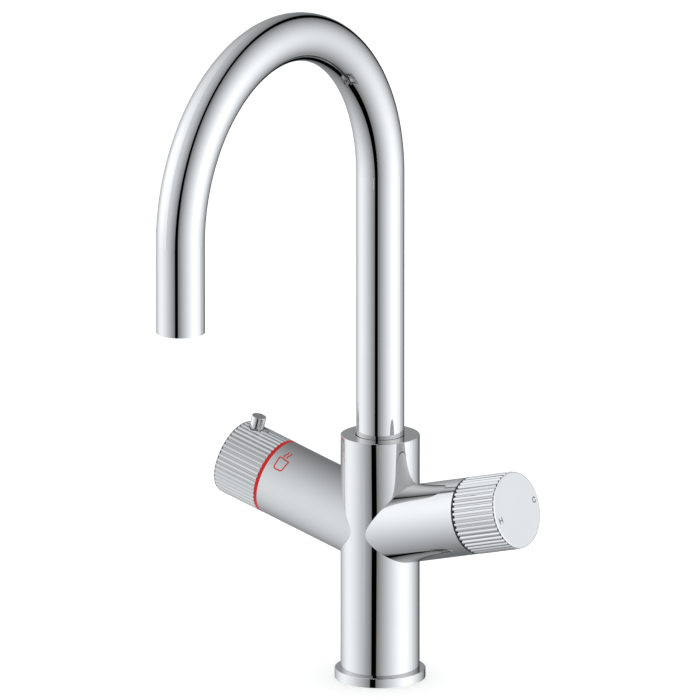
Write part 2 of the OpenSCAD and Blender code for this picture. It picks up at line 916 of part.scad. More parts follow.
// turned sleeve fixed in the tube's foot, which turns in the body's socket
module spout_spigot() {
    color("goldenrod")
        difference() {
            union() {
                rod(tube_r, spigot_foot_z, tube_foot_z - eps);
                rod(tube_in_r - fixed_gap, tube_foot_z - over, tube_foot_z + spigot_neck);
            }
            rod(spigot_bore_r, spigot_foot_z - over, tube_foot_z + spigot_neck + over);
            for (z = oring_z)
                seal_room(tube_r, oring_groove_depth, z, oring_groove_w);
            pipe(tube_r + over, oring_groove_r, glide_z, glide_z + glide_t);
            translate([0, 0, screw_z - dog_r - end_gap])
                rotate([0, 0, 90 - spout_swing - slot_margin])
                    rotate_extrude(angle = 2 * (spout_swing + slot_margin))
                        translate([slot_r, 0])
                            square([tube_r, 2 * (dog_r + end_gap)]);
        }
}

// two equal sealing rings on the spigot
module spout_orings() {
    color("dimgray")
        for (z = oring_z)
            oring(oring_groove_r + seal_gap, tube_r + run_gap / 2, z);
}

// split nylon ring that carries the spout in its socket
module spout_glide_ring() {
    color("white")
        pipe(tube_r + run_gap / 2, oring_groove_r + fixed_gap,
            glide_z + 2 * fixed_gap, glide_z + glide_t - 2 * fixed_gap);
}

// hose that keeps boiling water apart from mixed water, all the way to the outlet
module boiling_hose() {
    color("whitesmoke")
        swan_neck(hose_r, hose_bore_r, hose_foot_z, hose_end_z);
}

// two equal crimped sleeves, one at each end of the hose
module hose_ferrules() {
    color("gray") {
        ferrule(hose_foot_z);
        translate([0, outlet_y, 0])
            ferrule(hose_end_z);
    }
}

// one crimped sleeve round the hose's end at z
module ferrule(z) {
    pipe(hose_r + fixed_gap + ferrule_t, hose_r + fixed_gap, z + ferrule_start, z + barb_len);
}

// brass tail of the hose, which turns on the nipple
module hose_tail() {
    color("goldenrod")
        difference() {
            union() {
                rod(tail_r, tail_foot_z, hose_foot_z - eps);
                rod(barb_r, hose_foot_z - over, hose_foot_z + barb_len);
            }
            rod(nipple_r + run_gap, tail_foot_z - over, nipple_top_z + end_gap);
            rod(nipple_bore_r, nipple_top_z, hose_foot_z + barb_len + over);
            translate([0, 0, tail_seal_z - tail_seal_len / 2])
                pipe(nipple_r + seal_w, nipple_bore_r, 0, tail_seal_len);
        }
}

// rubber ring that seals the hose's tail on the nipple
module hose_tail_oring() {
    color("dimgray")
        oring(nipple_r + run_gap / 2, nipple_r + seal_w - run_gap / 2, tail_seal_z);
}

// ---- outlet ----

// threaded bush fixed inside the tube's end
module outlet_bush() {
    color("goldenrod")
        translate([0, outlet_y, 0])
            difference() {
                rod(tube_in_r - fixed_gap, bush_foot_z, bush_top_z);
                rod(outlet_thread_r, bush_foot_z - over, bush_top_z - bush_shoulder_t);
                rod(outlet_thread_r - bush_shoulder_w, bush_foot_z, bush_top_z + over);
            }
}

// threaded ring that holds the aerator
module aerator_housing() {
    color("silver")
        translate([0, outlet_y, 0])
            difference() {
                union() {
                    rod(outlet_thread_r - fixed_gap, bush_foot_z - end_gap, aerator_top_z);
                    rod(tube_in_r - end_gap, aerator_foot_z, bush_foot_z - fixed_gap);
                }
                rod(aerator_bore_r - aerator_lip, aerator_foot_z - over, insert_foot_z + eps);
                rod(aerator_bore_r, insert_foot_z, aerator_top_z + over);
            }
}

// plastic nozzle plate with its ring of jets
module aerator_insert() {
    color("white")
        translate([0, outlet_y, 0])
            difference() {
                rod(aerator_bore_r - fixed_gap, insert_foot_z + fixed_gap, insert_foot_z + aerator_insert_t);
                rod(nozzle_r + fixed_gap, insert_foot_z - over, insert_foot_z + aerator_insert_t + over);
                for (jet = [0 : jets - 1])
                    rotate(jet * 360 / jets)
                        translate([(nozzle_r + aerator_bore_r) / 2, 0, 0])
                            rod(jet_r, insert_foot_z - over, insert_foot_z + aerator_insert_t + over);
            }
}

// rubber ring between the aerator and the bush's shoulder
module aerator_washer() {
    color("dimgray")
        translate([0, outlet_y, 0])
            pipe(outlet_thread_r - 2 * fixed_gap, aerator_bore_r,
                aerator_top_z + 2 * fixed_gap, bush_top_z - bush_shoulder_t - 2 * fixed_gap);
}

// steel nozzle that the boiling water leaves through
module boiling_nozzle() {
    color("lightsteelblue")
        translate([0, outlet_y, 0])
            difference() {
                union() {
                    rod(nozzle_r, outlet_z + nozzle_inset, hose_end_z);
                    rod(hose_r + nozzle_flange_w, bush_top_z, bush_top_z + nozzle_flange_t);
                    rod(barb_r, hose_end_z - over, hose_end_z + barb_len);
                }
                rod(nozzle_bore_r, outlet_z, hose_end_z + barb_len + over);
            }
}

// ---- mixer knob and what turns with it ----

// fluted brass sleeve with its web
module mixer_knob() {
    color("silver")
        on_mixer_arm()
            rotate([0, 0, mixer_rest_turn])
                difference() {
                    union() {
                        fluted_sleeve(m_knob, m_cap - cap_gap, mixer_flute_phase);
                        rod(knob_bore_r + web_root, m_web, m_web + web_t);
                    }
                    rod(insert_r + fixed_gap, m_web - over, m_web + web_t + over);
                }
}

// full-width disc that closes the mixer knob
module mixer_knob_cap() {
    color("gainsboro")
        on_mixer_arm()
            difference() {
                knob_cap(m_cap, m_cap - cap_plug_len);
                seal_room(knob_bore_r, seal_w, m_cap - cap_seal_drop, cap_seal_len);
            }
}

// rubber ring that grips the cap's plug
module mixer_cap_oring() {
    color("dimgray")
        on_mixer_arm()
            oring(knob_bore_r - seal_w + seal_gap, knob_bore_r - seal_gap, m_cap - cap_seal_drop);
}

// flanged insert that joins the knob to the spindle's flat
module mixer_knob_insert() {
    color("dimgray")
        on_mixer_arm()
            rotate([0, 0, mixer_rest_turn])
                difference() {
                    union() {
                        rod(insert_r, m_insert, m_web + web_t + 2 * fixed_gap);
                        rod(insert_r + insert_flange_w, m_web + web_t + fixed_gap, m_insert_end);
                    }
                    flatted_rod(mixer_tip_r + fixed_gap, m_insert - over, m_insert_end + over);
                }
}

// round bar with one flat
module flatted_rod(r, z0, z1) {
    intersection() {
        rod(r, z0, z1);
        translate([-r, -r, z0 - over])
            cube([(1 + flat_reach) * r, 2 * r, z1 - z0 + 2 * over]);
    }
}

// screw that draws the mixer knob onto its spindle
module mixer_knob_screw() {
    color("gray")
        on_mixer_arm()
            knob_screw(m_insert_end + 2 * fixed_gap, mixer_screw);
}

// cheese-head screw with a hexagon socket, its head standing on z
module knob_screw(z, size) {
    head_r = size[0];
    head_t = size[1];
    difference() {
        union() {
            rod(head_r, z, z + head_t);
            rod(size[2], z - size[3], z + eps);
        }
        translate([0, 0, z + head_t * key_floor])
            cylinder(r = head_r * key_share, h = head_t, $fn = 6);
    }
}

// spindle of the mixer, with the plate that turns the moving disc and the lug that stops it
module mixer_spindle() {
    color("goldenrod")
        on_mixer_arm()
            rotate([0, 0, mixer_rest_turn])
                difference() {
                    union() {
                        rod(drive_r, m_drive, m_drive + drive_t);
                        rotate(90)
                            lug_pair(drive_lug_in_r, drive_r, drive_lug_w,
                                m_drive - drive_lug_h, m_drive + eps);
                        stop_lug();
                        rod(mixer_stem_r, m_drive + drive_t - eps, m_insert - end_gap);
                        flatted_rod(mixer_tip_r, m_insert - over, m_insert_end - 2 * fixed_gap);
                    }
                    rod(mixer_tap_r, m_web - mixer_tap_depth, m_insert_end + over);
                    seal_room(mixer_stem_r, stem_seal_w, m_stem_seal, seal_groove_len);
                }
}

// lug on the drive plate that meets the block under the cover
module stop_lug() {
    intersection() {
        pipe(drive_r, stop_in_r + end_gap, m_drive + drive_t - eps, m_drive + drive_t + stop_lug_h);
        translate([0, -stop_lug_w / 2, m_drive])
            cube([drive_r, stop_lug_w, drive_t + 2 * stop_lug_h]);
    }
}

// rubber ring between the mixer's spindle and its cover
module mixer_spindle_oring() {
    color("dimgray")
        on_mixer_arm()
            oring(mixer_stem_r - stem_seal_w + seal_gap, mixer_stem_r + run_gap / 2, m_stem_seal);
}

// upper ceramic disc: its channel joins the middle port to the hot or the cold one
module mixer_moving_disc() {
    color("ivory")
        on_mixer_arm()
            rotate([0, 0, mixer_rest_turn])
                difference() {
                    rod(cart_bore_r - 2 * run_gap, m_moving, m_moving + moving_t);
                    rod(water_r, m_moving - over, m_moving + channel_depth);
                    translate([-port_y - water_r, -water_r, m_moving - over])
                        cube([port_y + water_r, 2 * water_r, channel_depth + over]);
                    rotate(90)
                        lug_pair(drive_lug_in_r - drive_gap, cart_bore_r + over, drive_lug_w + 2 * drive_gap,
                            m_drive - drive_lug_h - 2 * drive_gap, m_drive + over);
                }
}

// ---- boiling knob and what turns with it ----

// fluted brass sleeve with a web, a hub and the bore for the button's bush
module boil_knob() {
    color("silver")
        on_boil_knob()
            difference() {
                union() {
                    fluted_sleeve(b_knob, b_cap - cap_gap, boil_flute_phase);
                    rod(knob_bore_r + web_root, b_web, b_web + boil_web_t);
                    rod(hub_r, b_web + boil_web_t - hub_t, b_web + eps);
                }
                rod(boil_insert_r + fixed_gap, b_web - hub_t, b_web + boil_web_t + over);
                translate([0, 0, b_button])
                    rotate([0, 90, 0])
                        rod(bush_r + fixed_gap, collar_r, knob_r + over);
            }
}

// full-width disc that closes the boiling knob
module boil_knob_cap() {
    color("gainsboro")
        on_boil_arm()
            knob_cap(b_cap, b_web + boil_web_t + fixed_gap);
}

// insert that joins the boiling knob to the spindle's flat
module boil_knob_insert() {
    color("dimgray")
        on_boil_knob()
            difference() {
                rod(boil_insert_r, b_web + boil_web_t - hub_t, b_web + boil_web_t);
                flatted_rod(boil_stem_r + fixed_gap, b_web - hub_t, b_web + boil_web_t + over);
            }
}

// low screw that draws the boiling knob onto its spindle
module boil_knob_screw() {
    color("gray")
        on_boil_knob()
            knob_screw(b_web + boil_web_t + fixed_gap, boil_screw);
}

// spindle of the boiling valve, with the plate that turns its moving disc
module boil_spindle() {
    color("goldenrod")
        on_boil_knob()
            difference() {
                union() {
                    rod(cage_bore_r - boil_drive_gap, b_drive, b_drive + boil_drive_t);
                    lug_pair(boil_lug_in_r, cage_bore_r - 2 * boil_drive_gap, boil_lug_w,
                        b_drive - boil_lug_h, b_drive + eps);
                    rod(boil_stem_r, b_drive + over, b_neck_end + end_gap);
                    flatted_rod(boil_stem_r, b_neck_end, b_web + boil_web_t - end_gap);
                }
                rod(boil_tap_r, b_web - boil_tap_depth, b_web + boil_web_t + over);
                for (z = spindle_oring_z)
                    seal_room(boil_stem_r, boil_stem_seal_w, z, boil_stem_seal_len);
            }
}

// two equal rubber rings on the boiling valve's spindle
module boil_spindle_orings() {
    color("dimgray")
        on_boil_arm()
            for (z = spindle_oring_z)
                oring(boil_stem_r - boil_stem_seal_w + seal_gap, boil_stem_r + fixed_gap / 2, z);
}

// upper ceramic disc of the boiling valve, notched at both sides and shut as it stands
module boil_moving_disc() {
    color("ivory")
        on_boil_knob()
            difference() {
                rod(cage_bore_r - run_gap, b_moving, b_moving + boil_moving_t);
                rotate(90 + boil_rest_turn)
                    difference() {
                        translate([-cage_bore_r, -flow_r, b_moving - over])
                            cube([2 * cage_bore_r, 2 * flow_r, boil_moving_t + 2 * over]);
                        rod(flow_r + flow_cover, b_moving - 2 * over, b_moving + boil_moving_t + 2 * over);
                    }
                lug_pair(boil_lug_in_r - drive_gap, cage_bore_r, boil_lug_w + 2 * drive_gap,
                    b_drive - boil_lug_h - 2 * drive_gap, b_drive + over);
            }
}

// ---- safety button ----

// brass bush pressed into the knob's wall and fluted with it
module button_bush() {
    color("gainsboro")
        difference() {
            intersection() {
                on_button()
                    rod(bush_r, bush_foot_h, knob_r + over);
                on_boil_knob()
                    fluted_rod(b_button - bush_r - over, b_button + bush_r + over, boil_flute_phase);
            }
            on_button() {
                rod(bush_bore_r, bush_foot_h - over, knob_r + over);
                rod(bush_well_r, bush_foot_h - over, shoulder_h);
                rod(button_r + button_mouth_gap, knob_r - button_mouth_depth, knob_r + over);
            }
        }
}

// plug that closes the bush from below and carries the spring
module button_plug() {
    color("gainsboro")
        on_button()
            difference() {
                union() {
                    rod(bush_r, plug_h, bush_foot_h);
                    rod(bush_well_r - fixed_gap, bush_foot_h - eps, spring_foot_h);
                }
                rod(nose_r + run_gap, plug_h - over, spring_foot_h + over);
            }
}

// coil spring that lifts the button, wound on points along a helix
module button_spring() {
    color("gray")
        on_button()
            coil(spring_r, spring_wire / 2, spring_turns,
                spring_foot_h + spring_wire / 2 + seal_gap, spring_top_h - spring_wire / 2 - seal_gap);
}

// wire wound round z from height z0 to z1, as rings of points joined by flat sides
module coil(r, wire, turns, z0, z1) {
    steps = turns * coil_steps;
    n = wire_sides;
    rings = [
        for (i = [0 : steps], j = [0 : n - 1])
            let (turn = i * 360 / coil_steps, side = j * 360 / n, out = r + wire * cos(side))
                [out * cos(turn), out * sin(turn), z0 + (z1 - z0) * i / steps + wire * sin(side)]
    ];
    walls = [
        for (i = [0 : steps - 1], j = [0 : n - 1])
            let (a = i * n + j, b = i * n + (j + 1) % n)
                [a, b, b + n, a + n]
    ];
    first = [[for (j = [n - 1 : -1 : 0]) j]];
    last = [[for (j = [0 : n - 1]) steps * n + j]];
    polyhedron(points = rings, faces = concat(first, walls, last));
}

// the button: head, retaining flange, spring bore and the nose that runs in the lock collar
module safety_button() {
    color("silver")
        on_button() {
            difference() {
                union() {
                    rod(button_r, button_foot_h, button_top_h - edge_break);
                    translate([0, 0, button_top_h - edge_break])
                        cylinder(r1 = button_r, r2 = button_r - edge_break, h = edge_break);
                    rod(flange_r, button_foot_h, button_foot_h + flange_t);
                }
                rod(spring_bore_r, button_foot_h - over, spring_top_h);
            }
            rod(nose_r, nose_tip_h, spring_top_h + eps);
        }
}

tap_body();
base_ring();
base_gasket();
spout_set_screw();
boiling_nipple();
mixer_cartridge_housing();
mixer_port_seals();
mixer_fixed_disc();
mixer_cartridge_cover();
mixer_retaining_nut();
mixer_black_ring();
boil_headwork();
boil_valve_cage();
boil_seat_seal();
boil_fixed_disc();
red_ring();
lock_collar();
lock_collar_clip();
spout_tube();
spout_spigot();
spout_orings();
spout_glide_ring();
boiling_hose();
hose_ferrules();
hose_tail();
hose_tail_oring();
outlet_bush();
aerator_housing();
aerator_insert();
aerator_washer();
boiling_nozzle();
mixer_knob();
mixer_knob_cap();
mixer_cap_oring();
mixer_knob_insert();
mixer_knob_screw();
mixer_spindle();
mixer_spindle_oring();
mixer_moving_disc();
boil_knob();
boil_knob_cap();
boil_knob_insert();
boil_knob_screw();
boil_spindle();
boil_spindle_orings();
boil_moving_disc();
button_bush();
button_plug();
button_spring();
safety_button();
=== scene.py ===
# %% [markdown]
# # A swan-neck tap for mixed and boiling water
# The tap is mirror-polished chrome, so most of its look is what it mirrors. The solid model gives
# every piece at its true size. This script gives each piece its finish, adds the marks that are
# printed or cut on the real one, and sets up the camera and the light.

# %% Load the solid model and hang its parts on their bodies
import json
import math

import bpy
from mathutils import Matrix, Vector

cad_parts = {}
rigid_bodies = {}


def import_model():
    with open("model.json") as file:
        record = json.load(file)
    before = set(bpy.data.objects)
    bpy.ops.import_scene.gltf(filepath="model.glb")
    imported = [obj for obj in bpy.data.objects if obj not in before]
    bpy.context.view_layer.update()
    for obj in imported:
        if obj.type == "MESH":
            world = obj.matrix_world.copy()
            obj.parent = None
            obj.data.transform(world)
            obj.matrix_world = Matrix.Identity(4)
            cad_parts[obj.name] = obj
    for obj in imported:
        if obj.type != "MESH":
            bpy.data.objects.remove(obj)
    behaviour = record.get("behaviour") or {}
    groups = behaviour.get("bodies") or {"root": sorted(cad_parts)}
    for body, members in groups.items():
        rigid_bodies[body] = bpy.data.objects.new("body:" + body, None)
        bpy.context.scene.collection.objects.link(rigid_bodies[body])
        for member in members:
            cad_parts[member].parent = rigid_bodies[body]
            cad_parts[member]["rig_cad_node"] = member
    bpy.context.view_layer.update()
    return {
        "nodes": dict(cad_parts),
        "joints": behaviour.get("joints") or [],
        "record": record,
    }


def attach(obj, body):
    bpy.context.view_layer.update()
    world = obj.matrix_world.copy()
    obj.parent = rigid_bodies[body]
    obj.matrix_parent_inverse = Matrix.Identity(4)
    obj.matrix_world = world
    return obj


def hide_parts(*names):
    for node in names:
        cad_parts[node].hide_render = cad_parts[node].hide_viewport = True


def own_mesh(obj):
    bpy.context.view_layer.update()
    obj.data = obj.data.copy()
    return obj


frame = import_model()
bpy.ops.object.select_all(action="DESELECT")

# %% [markdown]
# ## Named sizes
# The mixer's face and the start of the boiling knob are worked out from the solid model's meshes
# and its joints, so they need no fitting by eye. Both arms slope up by the same angle, and each
# arm's joint gives its axis.

# %% Arms, knobs and faces, in metres
MM = 0.001
joints = {joint["name"]: joint for joint in frame["joints"]}
arm_centre = Vector(joints["mixer_turn"]["pos_m"])
mixer_axis = Vector(joints["mixer_turn"]["axis"]).normalized()
boil_axis = -Vector(joints["boiling_turn"]["axis"]).normalized()
front = Vector((0, -1, 0))


def span_along(node, axis):
    """Nearest and farthest distance of a node along an arm, from the body's axis."""
    mesh = frame["nodes"][node].data
    places = [(vertex.co - arm_centre).dot(axis) for vertex in mesh.vertices]
    return min(places), max(places)


mixer_end = span_along("mixer_knob_cap", mixer_axis)[1]
knob_start = span_along("boil_knob", boil_axis)[0]
print("mixer face at %.2f mm, boiling knob starts at %.2f mm" % (mixer_end / MM, knob_start / MM))

# %% [markdown]
# ## The camera
# A photograph fixes the camera: how far round it stands, how high, and how wide it sees. This one
# stands 35 degrees round to the right and 15 degrees up, and it is far away with a long lens,
# because upright lines stay parallel in the picture.

# %% Camera
AZIMUTH = math.radians(35.0)
ELEVATION = math.radians(14.95)
DISTANCE = 11.0
PIXEL = 0.55 * MM
FRAME_PIXELS = 700
AIM_RIGHT = -16.53 * MM
AIM_UP = 179.2 * MM
SENSOR = 36.0
FARTHEST_SEEN = 100.0

to_camera = Vector((
    math.sin(AZIMUTH) * math.cos(ELEVATION),
    -math.cos(AZIMUTH) * math.cos(ELEVATION),
    math.sin(ELEVATION),
))
picture_right = Vector((math.cos(AZIMUTH), math.sin(AZIMUTH), 0))
picture_up = to_camera.cross(picture_right)
aim = picture_right * AIM_RIGHT + picture_up * AIM_UP

bpy.ops.object.camera_add(location=aim + to_camera * DISTANCE)
camera = bpy.context.object
camera.name = "camera"
camera.rotation_euler = to_camera.to_track_quat("Z", "Y").to_euler()
camera.data.sensor_width = SENSOR
camera.data.lens = SENSOR * DISTANCE / (FRAME_PIXELS * PIXEL)
camera.data.clip_end = FARTHEST_SEEN
bpy.context.scene.camera = camera
bpy.context.scene.view_settings.view_transform = "Standard"
print("lens %.0f mm" % camera.data.lens)

# %% [markdown]
# ## A little toolbox for materials
# A material is a small graph of nodes. These helpers add a node, set its inputs and link its
# output, so that each finish below stays a few readable lines.


# %% Node helpers
def add_node(tree, kind, **settings):
    """Adds a node. An input given as a socket is linked, and one given as a value is set."""
    node = tree.nodes.new(kind)
    inputs = settings.pop("inputs", {})
    for name, value in settings.items():
        setattr(node, name, value)
    for name, value in inputs.items():
        socket = node.inputs[name]
        if isinstance(value, bpy.types.NodeSocket):
            tree.links.new(value, socket)
        else:
            socket.default_value = value
    return node


def math_node(tree, operation, first, second=0.0):
    """One sum, product, comparison or other two-number step."""
    node = add_node(tree, "ShaderNodeMath", operation=operation, inputs={0: first, 1: second})
    return node.outputs[0]


# %% [markdown]
# ## The studio, as the chrome sees it
# Polished chrome has hardly any colour of its own. On the real tap it mirrors two very large soft
# boxes of cool light, one on each side. Each is brightest in its middle and falls off evenly towards
# its rim. The gap between them, which narrows overhead, is the thin black line down every tube. A
# world can be written as exactly that: the angle between a mirrored ray and each soft box's middle
# sets how bright it is. Rays from the camera see plain white, and matt surfaces are lit evenly.

# %% World
SOFT_BOXES = {
    "right": {"azimuth": 107.5, "elevation": -1.5, "peak": 1.945, "fall_per_degree": 0.0202},
    "left": {"azimuth": -70.7, "elevation": 9.4, "peak": 1.877, "fall_per_degree": 0.01915},
}
GAP_SIDE = (107.5, -4.5)
GAP_HALF_WIDTH = 6.35
GAP_NARROWING = 2.4
GAP_SOFTNESS = 0.5
BOX_LIMIT = 1.76
BOX_COLOR = (0.96, 1.0, 1.038, 1)
WHITE = (1, 1, 1, 1)
BACKGROUND = 1.0
MATT_LIGHT = 1.07


def direction(azimuth, elevation):
    """Unit vector: azimuth 0 is the front and grows to the right, elevation is above the horizon."""
    azimuth, elevation = math.radians(azimuth), math.radians(elevation)
    level = math.cos(elevation)
    return Vector((math.sin(azimuth) * level, -math.cos(azimuth) * level, math.sin(elevation)))


def angle_from(tree, ray, axis):
    """Angle in degrees between the ray and a fixed direction."""
    dot = add_node(tree, "ShaderNodeVectorMath", operation="DOT_PRODUCT", inputs={0: ray, 1: axis})
    return math_node(tree, "DEGREES", math_node(tree, "ARCCOSINE", dot.outputs["Value"]))


def soft_box(tree, ray, name):
    """Brightness of one soft box where this ray meets it."""
    box = SOFT_BOXES[name]
    angle = angle_from(tree, ray, direction(box["azimuth"], box["elevation"]))
    fall = math_node(tree, "MULTIPLY", angle, -box["fall_per_degree"])
    glow = math_node(tree, "ADD", fall, box["peak"])
    return math_node(tree, "MINIMUM", math_node(tree, "MAXIMUM", glow, 0.0), BOX_LIMIT)


def studio_light(tree, ray):
    """Brightness of the studio where this ray meets it: one box on each side of the dark gap."""
    side_angle = angle_from(tree, ray, direction(*GAP_SIDE))
    off_gap = math_node(tree, "ABSOLUTE", math_node(tree, "SUBTRACT", side_angle, 90.0))
    rise = add_node(tree, "ShaderNodeSeparateXYZ", inputs={0: ray}).outputs["Z"]
    narrowing = math_node(tree, "MULTIPLY", rise, GAP_NARROWING)
    past_gap = math_node(tree, "ADD", math_node(tree, "SUBTRACT", off_gap, GAP_HALF_WIDTH), narrowing)
    lit = add_node(
        tree, "ShaderNodeMapRange",
        inputs={"Value": past_gap, "From Min": -GAP_SOFTNESS, "From Max": GAP_SOFTNESS},
    ).outputs[0]
    on_left = math_node(tree, "GREATER_THAN", side_angle, 90.0)
    boxes = add_node(
        tree, "ShaderNodeMix", data_type="FLOAT", inputs={
            0: on_left,
            2: soft_box(tree, ray, "right"),
            3: soft_box(tree, ray, "left"),
        },
    ).outputs[0]
    return math_node(tree, "MULTIPLY", boxes, lit)


def make_world():
    """Mirrored rays see the studio, matt surfaces an even light and the camera plain white."""
    world = bpy.data.worlds.new("studio")
    bpy.context.scene.world = world
    world.use_nodes = True
    tree = world.node_tree
    tree.nodes.clear()
    mirrored = studio_light(tree, add_node(tree, "ShaderNodeTexCoord").outputs["Generated"])
    rays = add_node(tree, "ShaderNodeLightPath").outputs
    mirror_ray = math_node(tree, "MAXIMUM", rays["Is Glossy Ray"], rays["Is Transmission Ray"])
    matt_or_mirror = add_node(
        tree, "ShaderNodeMix", data_type="FLOAT", inputs={0: mirror_ray, 2: MATT_LIGHT, 3: mirrored},
    ).outputs[0]
    strength = add_node(
        tree, "ShaderNodeMix", data_type="FLOAT",
        inputs={0: rays["Is Camera Ray"], 2: matt_or_mirror, 3: BACKGROUND},
    ).outputs[0]
    color = add_node(
        tree, "ShaderNodeMix", data_type="RGBA", inputs={0: mirror_ray, 6: WHITE, 7: BOX_COLOR},
    ).outputs[2]
    background = add_node(tree, "ShaderNodeBackground", inputs={"Color": color, "Strength": strength})
    add_node(tree, "ShaderNodeOutputWorld", inputs={"Surface": background.outputs[0]})


make_world()
print("world: two soft boxes with a %.1f degree gap" % (2 * GAP_HALF_WIDTH))

# %% [markdown]
# ## The floor
# The tap stands on a plain white surface. It has to be as white as the background and still take
# the tap's soft shadow, so it is a plain matt white, lit evenly, with a little light of its own as
# the camera sees it, which keeps the shadow faint. Mirrored rays pass it by.

# %% Floor
FLOOR_SIZE = 60.0
FLOOR_WHITE = 0.94
FLOOR_GLOW = 0.18

bpy.ops.mesh.primitive_plane_add(size=FLOOR_SIZE)
floor = bpy.context.object
floor.name = "floor"
floor_paint = bpy.data.materials.new("floor_white")
floor_paint.use_nodes = True
floor_tree = floor_paint.node_tree
floor_shader = floor_tree.nodes["Principled BSDF"]
floor_shader.inputs["Base Color"].default_value = (FLOOR_WHITE, FLOOR_WHITE, FLOOR_WHITE, 1)
floor_shader.inputs["Roughness"].default_value = 1.0
floor_shader.inputs["Specular IOR Level"].default_value = 0.0
floor_shader.inputs["Emission Color"].default_value = WHITE
camera_ray = add_node(floor_tree, "ShaderNodeLightPath").outputs["Is Camera Ray"]
glow = math_node(floor_tree, "MULTIPLY", camera_ray, FLOOR_GLOW)
floor_tree.links.new(glow, floor_shader.inputs["Emission Strength"])
floor.data.materials.append(floor_paint)
floor.visible_glossy = False
floor.visible_transmission = False
floor.visible_diffuse = False
print("floor", FLOOR_SIZE, "m wide")

# %% [markdown]
# ## Effects that several finishes share
# Real finishes are rarely the same all over: polish leaves a faint haze, a lathe leaves fine
# rings, a mould leaves grain and bare metal dulls in patches. Each of these is a node group, built
# once. A finish then places it with its own scale and strength. All of them read the place on the
# object, so the pattern stays put when the camera or a knob moves.


# %% Group helpers
NOISE_MIDDLE = (0.3, 0.7)


def new_group(name, inputs, outputs):
    """An empty shader node group. Inputs are (name, kind, value), outputs are (name, kind)."""
    group = bpy.data.node_groups.new(name, "ShaderNodeTree")
    for label, kind, value in inputs:
        socket = group.interface.new_socket(label, in_out="INPUT", socket_type=kind)
        socket.default_value = value
    for label, kind in outputs:
        group.interface.new_socket(label, in_out="OUTPUT", socket_type=kind)
    return group, group.nodes.new("NodeGroupInput").outputs, group.nodes.new("NodeGroupOutput").inputs


def object_place(tree):
    """The point of the surface that is being shaded, in metres."""
    return add_node(tree, "ShaderNodeTexCoord").outputs["Object"]


def spread(tree, value, low, high):
    """Stretches the middle of a noise so that it runs from low to high."""
    start, end = NOISE_MIDDLE
    return add_node(
        tree, "ShaderNodeMapRange",
        inputs={"Value": value, "From Min": start, "From Max": end, "To Min": low, "To Max": high},
    ).outputs[0]


# %% [markdown]
# ### Haze
# Polishing and handling leave some patches a little duller than others. A noise drives the
# roughness between two values that lie close together.

# %% Haze group
haze, given, result = new_group(
    "haze",
    [
        ("Scale", "NodeSocketFloat", 300.0),
        ("Low", "NodeSocketFloat", 0.1),
        ("High", "NodeSocketFloat", 0.2),
    ],
    [("Roughness", "NodeSocketFloat")],
)
patches = add_node(
    haze, "ShaderNodeTexNoise",
    inputs={"Vector": object_place(haze), "Scale": given["Scale"], "Detail": 3.0},
)
haze.links.new(spread(haze, patches.outputs[0], given["Low"], given["High"]), result["Roughness"])
print("group", haze.name)

# %% [markdown]
# ### Turning rings
# A part that comes off a lathe has very fine rings about the axis it was turned on. The distance
# along the axis and the distance from it are added, so the same group draws lines round a shaft
# and circles on its end. A one-dimensional noise makes every ring a little different.

# %% Turning rings group
turning, given, result = new_group(
    "turning_rings",
    [
        ("Axis", "NodeSocketVector", (0, 0, 1)),
        ("Centre", "NodeSocketVector", (0, 0, 0)),
        ("Rings per metre", "NodeSocketFloat", 8000.0),
    ],
    [("Rings", "NodeSocketFloat")],
)
from_centre = add_node(
    turning, "ShaderNodeVectorMath", operation="SUBTRACT",
    inputs={0: object_place(turning), 1: given["Centre"]},
).outputs[0]
along = add_node(
    turning, "ShaderNodeVectorMath", operation="DOT_PRODUCT", inputs={0: from_centre, 1: given["Axis"]},
).outputs["Value"]
out_from_axis = add_node(
    turning, "ShaderNodeVectorMath", operation="CROSS_PRODUCT", inputs={0: from_centre, 1: given["Axis"]},
).outputs[0]
radius = add_node(
    turning, "ShaderNodeVectorMath", operation="LENGTH", inputs={0: out_from_axis},
).outputs["Value"]
travel = math_node(turning, "ADD", along, radius)
tool_path = math_node(turning, "MULTIPLY", travel, given["Rings per metre"])
rings = add_node(
    turning, "ShaderNodeTexNoise", noise_dimensions="1D", inputs={"W": tool_path, "Scale": 1.0},
)
turning.links.new(spread(turning, rings.outputs[0], 0.0, 1.0), result["Rings"])
print("group", turning.name)

# %% [markdown]
# ### Mould grain
# Moulded plastic and rubber copy the spark-eroded wall of their mould: a fine even grain with a
# coarser swell below it. Two noises are added for a height.

# %% Mould grain group
SWELL_SCALE = 0.15
SWELL_SHARE = 0.5

grain, given, result = new_group(
    "mould_grain", [("Scale", "NodeSocketFloat", 4000.0)], [("Height", "NodeSocketFloat")],
)
place = object_place(grain)
fine = add_node(
    grain, "ShaderNodeTexNoise", inputs={"Vector": place, "Scale": given["Scale"], "Detail": 2.0},
)
swell_scale = math_node(grain, "MULTIPLY", given["Scale"], SWELL_SCALE)
swell = add_node(
    grain, "ShaderNodeTexNoise", inputs={"Vector": place, "Scale": swell_scale, "Detail": 1.0},
)
swell_part = math_node(grain, "MULTIPLY", swell.outputs[0], SWELL_SHARE)
grain.links.new(math_node(grain, "ADD", fine.outputs[0], swell_part), result["Height"])
print("group", grain.name)

# %% [markdown]
# ### Dulling
# Unplated metal and unpainted plastic don't keep one colour: they darken in soft patches. A
# large noise mixes a clean colour with a duller one.

